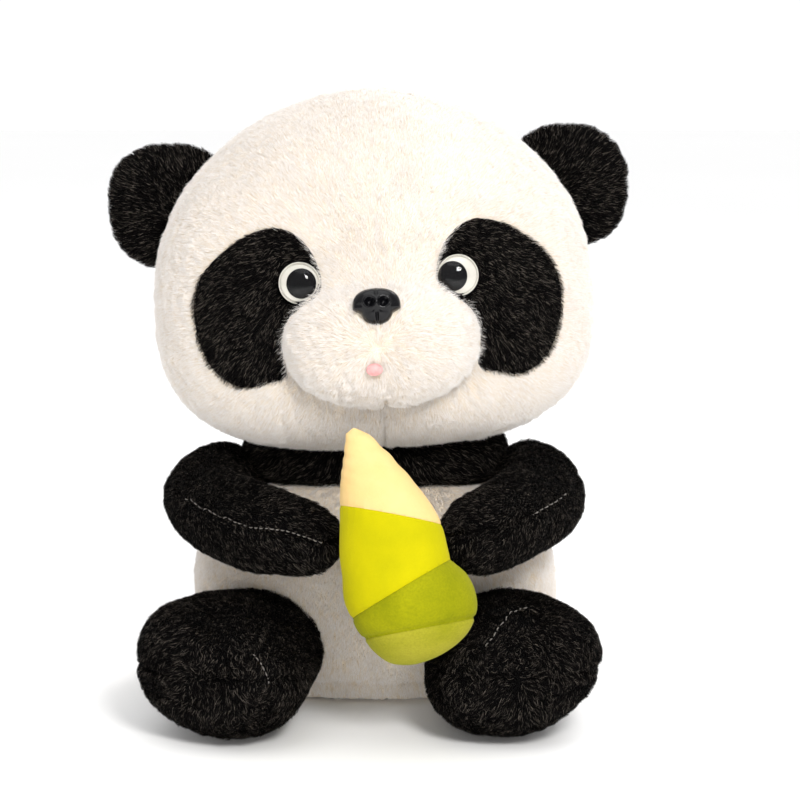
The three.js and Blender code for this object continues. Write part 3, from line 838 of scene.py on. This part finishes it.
def make_nose():
    directions, quads = quad_ball(64)
    d = directions * reach_of(directions, np.interp(directions[:, 1], [-1, 1], [2.2, 2.4]))[:, None]
    across = 10.1 * (1 - 0.30 * smoothstep(-0.12, -0.42, d[:, 1]))
    height = np.where(d[:, 1] > 0, 7.4, 8.2)
    points = np.stack([d[:, 0] * across, d[:, 1] * height, d[:, 2] * 6.4], axis=1)
    front = points[:, 2] > 0
    for sign in (1, -1):
        spot = np.hypot(points[:, 0] - sign * 2.9, points[:, 1] - 0.7)
        rim = groove(spot - 2.5, 0.7) * 0.7
        hole = groove(spot, 1.7) * 2.2
        points[:, 2] += np.where(front, rim - hole, 0)
    stem = groove(points[:, 0], 0.6) * smoothstep(-2.0, -4.5, points[:, 1]) * 1.3
    stem -= groove(points[:, 0], 0.7) * smoothstep(-4.5, -1.0, points[:, 1]) * 0.5
    wings = sum(groove(np.hypot(points[:, 0] - s * 7.4, points[:, 1] + 1.0), 2.4) for s in (1, -1)) * 1.0
    points[:, 2] -= np.where(front, stem + wings, 0)
    place = HEAD_FRAME @ nose_seat() @ Matrix.Rotation(NOSE_TILT, 4, "X")
    nose = make_piece("nose", apply(place, points), quads, BLACK_PLASTIC, "head")
    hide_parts("nose")


def make_mouth():
    directions, quads = quad_ball(28)
    points = directions * np.array([3.5, 1.9, 2.7])
    stitches = np.sin(points[:, 0] * 2 * math.pi / 0.55) * 0.10
    points[:, 1] -= np.where(points[:, 1] < 0, stitches, 0)
    points += np.array([MOUTH_X, MUZZLE_AT[1] - MUZZLE["depth"] + 1.3, MOUTH_Z])
    mouth = make_piece("mouth_embroidery", from_head(points), quads, PINK_THREAD, "head")
    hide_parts("mouth_embroidery")


# ---- ears ----

EAR = dict(radius=29.5, thickness=8, full=2.3, thinning=0.35, x=90, y=9, z=51)


def make_ear(side, sign):
    directions, quads = quad_ball(46)
    d = directions[:, [0, 2, 1]] * [1, 1, -1]  # the flat faces look forward and back
    reach = reach_of(d, EAR["full"])
    round_ = EAR["radius"] - PILE * 0.8
    edge = np.hypot(d[:, 0], d[:, 1]) ** 3
    thin = (EAR["thickness"] - PILE * 0.5) * (1 - edge * EAR["thinning"])
    points = np.stack([sign * EAR["x"] + d[:, 0] * reach * round_, EAR["y"] - d[:, 2] * reach * thin,
                       EAR["z"] + d[:, 1] * reach * round_], axis=1)
    inner = np.hypot(d[:, 0], d[:, 1]) < 0.9
    hollow = groove(np.hypot(points[:, 0] - sign * (EAR["x"] - 3), points[:, 2] - EAR["z"]), 17)
    points[:, 1] += np.where(inner & (d[:, 2] > 0), 1.6 * hollow, 0)
    points = from_head(points)
    ear = make_piece(f"ear_{side}", points, quads, BLACK_CLOTH, f"ear_{side}")
    push(ear, -0.9 * groove(points[:, 1] - from_head(np.array([[sign * EAR["x"], EAR["y"], EAR["z"]]]))[0, 1]
                            - (points[:, 0] - sign * EAR["x"]) * math.tan(math.radians(2.8)), 1.1))
    tufted(ear, 40 + (sign > 0))
    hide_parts(f"ear_front_panel_{side}", f"ear_back_panel_{side}", f"ear_stuffing_{side}")
    root = from_head(np.array([[sign * 74.0, EAR["y"], EAR["z"] - 10]]))

    def keep(roots):
        return egg_distance(HEAD, to_head(roots), PILE + 1) > 0

    grow_pile(ear, BLACK_PILE, 42 + (sign > 0), lambda roots: roots - root, length=3.0, density=6.0,
              keep=keep, disorder=1.0)


# ---- torso, tail ----

def band_droop(points):
    beside = np.maximum(np.abs(points[:, 0]) - 43, 0)
    behind = smoothstep(-5, 35, points[:, 1])
    return BAND_DROOP * points[:, 0] ** 2 + 0.02 * beside**2 + 6 * behind


def raise_by_droop(piece, sign):
    """Shifts a piece up by the band's droop and back, so that a level cut follows the band's edge."""
    points = points_of(piece)
    points[:, 2] += sign * band_droop(points)
    set_points(piece, points)


def make_torso():
    directions, quads = quad_ball(96)
    points = egg_points(TORSO, directions, PILE) + TORSO_AT
    floor = 0.9
    points[:, 2] = floor + np.logaddexp(0, (points[:, 2] - floor) / 1.5) * 1.5
    torso = make_piece("torso_cover", points, quads, CREAM_CLOTH, "torso")
    radius = np.hypot(points[:, 0], points[:, 1])
    outside = radius > 40
    seat = groove(points[:, 2] - SEAT_SEAM, 1.8) * outside
    band = groove(points[:, 2] + band_droop(points) - BAND_SEAM, 1.2)
    sides = groove(points[:, 1], 1.6) * (points[:, 2] > SEAT_SEAM)
    rest = ripple(points, 46, 5) * smoothstep(4, 18, points[:, 2])
    push(torso, -1.8 * seat - 0.8 * band - 0.9 * sides + 0.7 * rest)
    tufted(torso, 13)
    shoulders = copied(torso, "torso")
    shoulders.name = "shoulder_cover"
    shoulders.data.materials[0] = BLACK_CLOTH
    for piece, keep_above in ((torso, False), (shoulders, True)):
        raise_by_droop(piece, 1)
        bisected(piece, (0, 0, BAND_SEAM), (0, 0, 1), keep_above)
        raise_by_droop(piece, -1)
    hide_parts("belly_panel", "lower_back_panel", "seat_panel", "torso_stuffing")
    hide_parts("chest_band", "shoulder_panel")
    down = np.array([[0, -0.05, -1.0]])

    def nap(roots):
        out = roots * np.array([1, 1, 0])
        return unit(down + 0.25 * unit(out))

    def above_floor(roots):
        return (roots[:, 2] > 4) & (roots[:, 2] + band_droop(roots) < BAND_SEAM - 0.2)

    grow_pile(torso, CREAM_PILE, 23, nap, density=6.0, keep=above_floor)
    grow_pile(shoulders, BLACK_PILE, 24, nap,
              keep=lambda roots: roots[:, 2] + band_droop(roots) > BAND_SEAM + 0.2)


def make_neck():
    """The black neck: a soft ball round the point that the head turns about."""
    directions, quads = quad_ball(36)
    reach = reach_of(directions, 2.8)
    points = directions * reach[:, None] * np.array([60, 36, 14]) + NECK_AT + np.array([0, -4, -0.5])
    neck = make_piece("neck_cover", points, quads, BLACK_CLOTH, "neck_filling")
    tufted(neck, 14)
    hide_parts("neck_stuffing")
    grow_pile(neck, BLACK_PILE, 25, lambda roots: roots - NECK_AT + [0, 0, -20])


def make_tail():
    directions, quads = quad_ball(34)
    points = egg_points(TAIL, directions, PILE) + TAIL_AT
    tail = make_piece("tail_cover", points, quads, CREAM_CLOTH, "tail")
    tufted(tail, 15)
    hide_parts("tail_cover", "tail_stuffing")
    grow_pile(tail, CREAM_PILE, 26, lambda roots: roots - TAIL_AT + [0, 6, -8])


# ---- arms and legs ----

ARM = dict(line=[(64, 6, 92), (77, -27, 91), (60, -68, 89)], start=19, end=21, full=3, flatness=1, twist=0.0,
           left=(31, -97, 84), right=(-15, -97, 84))
LEG = dict(line=[(46, -20, 30.5), (57, -66, 30.5)], start=27, end=45, full=3.2, flatness=0.75,
           twist=math.radians(-18), left=(63, -122, 31), right=(-73, -122, 31))
ARM_SEAM_X, ARM_SEAM_Z, ARM_SEAM_SLOPE = 53, 93, 0.17
LEG_SEAM = 33  # height of the seam along a leg
SHOULDER_AT, SHOULDER_HEIGHT, SHOULDER_WIDTH = (60.0, -22, 110), 10, 18
SOLE_HOLLOWS = {1: (64.0, 55.0, 13), -1: (-65.0, 56.0, 9)}  # x, z and width, by side


def limb_path(limb, side, sign):
    return spline([(sign * x, y, z) for x, y, z in limb["line"]] + [limb[side]])


def swelling(kind, sign, points):
    """The shoulder's lump at the top of each arm."""
    if kind == "leg":
        return 0
    x, y, z = SHOULDER_AT
    away = np.linalg.norm(points - np.array([sign * x, y, z]), axis=1)
    return SHOULDER_HEIGHT * groove(away, SHOULDER_WIDTH)


def make_limb(kind, side, sign, limb, seam_distance, seed):
    rows, columns = ((150, 150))
    directions, faces = round_grid(columns, rows)
    path = limb_path(limb, side, sign)
    points, t = tube_points(path, limb["start"], limb["end"], limb["full"], limb["flatness"],
                            PILE, directions, sign * limb["twist"])
    piece = make_piece(f"{kind}_{side}", points, faces, BLACK_CLOTH, f"{kind}_{side}")
    push(piece, -1.5 * groove(seam_distance(points), 1.5) * smoothstep(0.15, 0.35, t)
         - dimples(kind, sign, points) + swelling(kind, sign, points) + 0.6 * ripple(points, 34, seed))
    tufted(piece, seed + 1)
    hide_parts(f"{kind}_upper_panel_{side}", f"{kind}_lower_panel_{side}", f"{kind}_stuffing_{side}")
    tree = path[::4]

    def nap(roots):
        gaps = np.linalg.norm(roots[:, None] - tree[None], axis=2)
        nearest = gaps.argmin(axis=1)
        heading = unit(np.gradient(tree, axis=0))[nearest]
        return heading + 0.5 * unit(roots - tree[nearest]) + np.array([[0, 0, -0.3]])

    def keep(roots):
        return egg_distance(TORSO, roots - TORSO_AT, PILE + 1.5) > 0

    grow_pile(piece, BLACK_PILE, seed + 2, nap, length=3.0, density=6.0, keep=keep, disorder=1.0)
    return piece


def dimples(kind, sign, points):
    """The hollow that the sole's stitching pulls into the left and right foot."""
    if kind == "arm":
        return 0
    front = points[:, 1] < -100
    x, z, wide = SOLE_HOLLOWS[sign]
    return 3.5 * groove(np.hypot((points[:, 0] - x) * 9 / wide, points[:, 2] - z), 9) * front


ARM_STITCHES = {"right": [(-82, 97.5), (-67, 95), (-53, 93), (-42, 93), (-34, 92), (-27, 90), (-22, 88)],
                "left": [(84, 98), (76, 97), (68, 95.5)]}
SOLE_STITCHES = {"right": [(-51, 43.5), (-47, 39.5), (-45, 35.5), (-44, 31)],
                 "left": [(48, 46), (54, 52.5), (60, 56.5), (67.5, 59), (74, 59), (84, 56.5)]}
STITCH = dict(step=2.3, length=1.5, radius=0.24, lift=1.5)


def make_stitches(name, cloth, line, body):
    """A row of short threads over the pile along a seam, given as (x, z) points seen from the front."""
    surface = BVHTree.FromObject(cloth, bpy.context.evaluated_depsgraph_get())
    path = spline([(x, 0, z) for x, z in line], 400)
    walked = np.concatenate([[0], np.cumsum(np.linalg.norm(np.diff(path, axis=0), axis=1))])
    stops = np.arange(0, walked[-1], STITCH["step"])
    rings, around = np.linspace(-1, 1, 7), np.linspace(0, 2 * math.pi, 8, endpoint=False)
    points, faces = [], []
    for start in stops:
        ends = []
        for at in (start, start + STITCH["length"]):
            x, z = (np.interp(at, walked, path[:, k]) for k in (0, 2))
            spot, normal, _, _ = surface.ray_cast(Vector((x, -300, z)) * MM, Vector((0, 1, 0)))
            if spot is None:
                break
            ends.append(np.array(spot) / MM + np.array(normal) * STITCH["lift"])
        if len(ends) < 2:
            continue
        out = np.array(normal)
        heading = unit((ends[1] - ends[0])[None])[0]
        across = np.cross(heading, out)
        first = len(points)
        for r in rings:
            centre = (ends[0] + ends[1]) / 2 + (ends[1] - ends[0]) / 2 * r - out * 0.5 * r**2
            thick = STITCH["radius"] * math.sqrt(1 - 0.9 * r * r)
            points += [centre + thick * (math.cos(a) * across + math.sin(a) * out) for a in around]
        n = len(around)
        faces += ring_quads(len(rings) - 1, n, first)
        faces.append(tuple(first + k for k in reversed(range(n))))
        faces.append(tuple(first + (len(rings) - 1) * n + k for k in range(n)))
    make_piece(name, np.array(points), faces, GREY_THREAD, body)


def make_limbs():
    for side, sign in SIDES:
        def arm_seam(points, sign=sign):
            rise = sign * ARM_SEAM_SLOPE * (points[:, 0] - sign * ARM_SEAM_X)
            return (points[:, 2] - ARM_SEAM_Z - rise) / math.hypot(1, ARM_SEAM_SLOPE)
        arm = make_limb("arm", side, sign, ARM, arm_seam, 50 + 3 * (sign > 0))
        leg = make_limb("leg", side, sign, LEG, lambda points: points[:, 2] - LEG_SEAM, 60 + 3 * (sign > 0))
        make_stitches(f"arm_stitches_{side}", arm, ARM_STITCHES[side], f"arm_{side}")
        make_stitches(f"sole_stitches_{side}", leg, SOLE_STITCHES[side], f"leg_{side}")


# ---- the bamboo shoot ----

SHOOT_LINE = [(-7.5, 141.5, 3.6), (-4, 134, 8.0), (2.3, 118, 15.8), (6.8, 102, 21.2), (9.8, 86, 23.8),
              (13.8, 77, 27.0), (15.8, 68, 28.6), (17.2, 59.5, 27.2), (16.6, 52, 23.2), (15.2, 45, 17),
              (13.4, 39.8, 9.5), (12.6, 37.2, 3)]
SHOOT_SEAMS = [(7, 103.4, -0.188), (12, 71.5, 0.558), (17, 53.6, 0.196)]
SHOOT_SEAM_RISE = 0.3  # how steeply the seams rise towards the front
SHOOT_MIDDLE_Y = -118
SHOOT_LAYERS = [("shoot_tip", YELLOW, "yellow_velvet", "shoot_tip_panel"),
                ("shoot_middle", LIME, "lime_velvet", "shoot_middle_panel"),
                ("shoot_lower", OLIVE, "olive_velvet", "shoot_lower_panel"),
                ("shoot_base", LEAF, "leaf_velvet", "shoot_base_panel")]


def shoot_points(directions, inset):
    t = (1 - directions[:, 1]) / 2
    line = spline(SHOOT_LINE, 120)
    station = along(line, t)
    ring = np.maximum(np.hypot(directions[:, 0], directions[:, 2]), 1e-9)
    half = np.maximum(station[:, 2] - inset, 0) * np.minimum(1, 6 * np.sqrt(t * (1 - t)))
    x = station[:, 0] + half * directions[:, 0] / ring
    y = -121 + 6 * t - half * 0.74 * directions[:, 2] / ring
    return np.stack([x, y, station[:, 1]], axis=1)


def seam_height(points, seam):
    x, z, slant = seam
    rise = SHOOT_SEAM_RISE * (points[:, 1] - SHOOT_MIDDLE_Y)
    return (points[:, 2] - z + rise) * math.cos(slant) - (points[:, 0] - x) * math.sin(slant)


def make_shoot():
    rows, columns = ((170, 130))
    directions, faces = round_grid(columns, rows)
    points = shoot_points(directions, 0.4)
    whole = make_piece("shoot_tip", points, faces, YELLOW, "shoot")
    pinch = sum(groove(seam_height(points, seam), 0.8) * depth
                for seam, depth in zip(SHOOT_SEAMS, (0.4, 0.8, 0.9)))
    pinch += sum(groove(seam_height(points, seam), 4) * 0.5 for seam in SHOOT_SEAMS[1:])
    tip = smoothstep(108, 128, points[:, 2]) * smoothstep(141, 136, points[:, 2])
    creases = points[:, 2] + 0.25 * points[:, 0] + 1.5 * ripple(points, 25, 70)
    folds = tip * (0.16 * np.sin(creases * 2 * math.pi / 6.5) + 0.12 * ripple(points, 10, 71))
    puckers = np.zeros(len(points))
    for k, seam in enumerate(SHOOT_SEAMS):
        around = np.arctan2(points[:, 1] - SHOOT_MIDDLE_Y, points[:, 0] - seam[0])
        near = np.exp(-np.abs(seam_height(points, seam)) / 4.5)
        puckers += near * np.sin(around * 26 + 3 * ripple(points, 30, 72 + k)) * 0.10
    sewn = np.min([np.abs(seam_height(points, seam)) for seam in SHOOT_SEAMS], axis=0) < 0.8
    stuffed(whole, sewn | (points[:, 2] > 136), cap=1.2)
    push(whole, -pinch + folds + puckers + 0.5 * ripple(points, 30, 75))
    left = whole
    for k, (name, material, slot, node) in enumerate(SHOOT_LAYERS):
        layer = left
        if k < len(SHOOT_SEAMS):
            left = copied(layer, "shoot")
            x, z, slant = SHOOT_SEAMS[k]
            normal = (-math.sin(slant), SHOOT_SEAM_RISE * math.cos(slant), math.cos(slant))
            bisected(layer, (x, SHOOT_MIDDLE_Y, z), normal, keep_above=True)
            bisected(left, (x, SHOOT_MIDDLE_Y, z), normal, keep_above=False)
        layer.name = name
        layer.data.materials.clear()
        layer.data.materials.append(material)
        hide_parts(node, *(["shoot_stuffing"] if k == 1 else []))


# ---- care label, neck seam ----

LABEL_BEARING = 0.78  # radians from +X towards +Y, as in the CAD
LABEL_SEWN, LABEL_FREE = -17, 11  # its end inside the seam and its free end, along the bearing
LABEL_HALF = 7  # half its height
LABEL_GRID = (57, 29)


def make_label():
    low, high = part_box("care_label")
    centre = (np.array(low) + np.array(high)) / 2 / MM
    out = np.array([math.cos(LABEL_BEARING), math.sin(LABEL_BEARING), 0])
    side = np.array([-out[1], out[0], 0])
    s, h = np.meshgrid(np.linspace(LABEL_SEWN, LABEL_FREE, LABEL_GRID[0]),
                       np.linspace(-LABEL_HALF, LABEL_HALF, LABEL_GRID[1]), indexing="ij")
    curl = 2.0 * np.sin((s + 11) / 22 * math.pi * 0.9) * (1 + 0.3 * h / LABEL_HALF)
    curl -= 0.02 * (s - LABEL_SEWN) * h / LABEL_HALF
    front = centre + s[..., None] * out + curl[..., None] * side + h[..., None] * np.array([0, 0, 1.0])
    index = np.arange(LABEL_GRID[0] * LABEL_GRID[1]).reshape(LABEL_GRID)
    quads = np.stack([index[:-1, :-1], index[1:, :-1], index[1:, 1:], index[:-1, 1:]], axis=-1)
    label = make_piece("care_label", front.reshape(-1, 3), quads.reshape(-1, 4), SATIN,
                       "label")
    solid = label.modifiers.new("thickness", "SOLIDIFY")
    solid.thickness = 0.3 * MM
    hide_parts("care_label")


def finish_hidden_parts():
    """The washers and the neck thread keep their CAD shapes."""
    finishes = {"eye_washer_left": WASHER_PLASTIC, "eye_washer_right": WASHER_PLASTIC,
                "nose_washer": WASHER_PLASTIC, "neck_seam_thread": BLACK_THREAD}
    for name, material in finishes.items():
        for slot in bpy.data.objects[name].material_slots:
            slot.material = material


head = make_head()
make_muzzle()
make_patches(head)
for side, sign in SIDES:
    make_eye(side, sign)
    make_ear(side, sign)
make_nose()
make_mouth()
make_torso()
make_neck()
make_tail()
make_limbs()
make_shoot()
make_label()
finish_hidden_parts()


# ---- studio ----

def make_floor():
    mesh = bpy.data.meshes.new("floor")
    size = 3.0
    mesh.from_pydata([(-size, -size, 0), (size, -size, 0), (size, size, 0), (-size, size, 0)], [],
                     [(0, 1, 2, 3)])
    material, nodes, shader = new_material("floor")
    _, ramp = noise_ramp(nodes, 2, (0.955, 0.955, 0.955), (0.97, 0.97, 0.97))
    wire(ramp, "Color", shader, "Base Color")
    set_inputs(shader, Roughness=0.9)
    mesh.materials.append(material)
    new_object("floor", mesh)


def make_light(name, location, target, size, power, colour):
    data = bpy.data.lights.new(name, "AREA")
    data.shape = "RECTANGLE"
    data.size, data.size_y = size
    data.energy = power
    data.color = colour
    light = new_object(name, data)
    light.location = location
    aim = Vector(target) - Vector(location)
    light.rotation_euler = aim.to_track_quat("-Z", "Y").to_euler()
    return light


def make_world():
    """A white backdrop behind the object and a dimmer room in front of it."""
    world = bpy.data.worlds.new("studio")
    world.use_nodes = True
    nodes = world.node_tree.nodes
    around = nodes.new("ShaderNodeTexCoord")
    axes = nodes.new("ShaderNodeSeparateXYZ")
    wall = nodes.new("ShaderNodeMapRange")
    set_inputs(wall, From_Min=-0.2, From_Max=0.8, To_Min=ROOM_GLOW, To_Max=BACKDROP_GLOW)
    wire(around, "Generated", axes, "Vector")
    wire(axes, "Y", wall, "Value")
    wire(wall, "Result", nodes["Background"], "Strength")
    set_inputs(nodes["Background"], Color=(1, 1, 1, 1))
    bpy.context.scene.world = world


def make_lights():
    middle = (0, 0, 0.13)
    make_light("key", (0.35, -1.0, 0.8), middle, (0.3, 0.3), 10, (1.0, 0.985, 0.965))
    fill_light = make_light("fill", (-0.1, -1.2, 0.15), middle, (1.2, 0.6), 5.5, (1.0, 0.97, 0.93))
    fill_light.visible_glossy = False
    make_light("rim", (0.6, 0.8, 0.9), middle, (0.6, 0.6), 4, (1.0, 1.0, 1.0))
    ceiling = new_object("ceiling", bpy.data.lights.new("ceiling", "SUN"))
    ceiling.data.energy = 1.2
    ceiling.data.angle = math.radians(70)
    ceiling.rotation_euler = (math.radians(12), 0, 0)


make_floor()
bpy.context.scene.view_settings.view_transform = "Standard"
make_world()
make_lights()
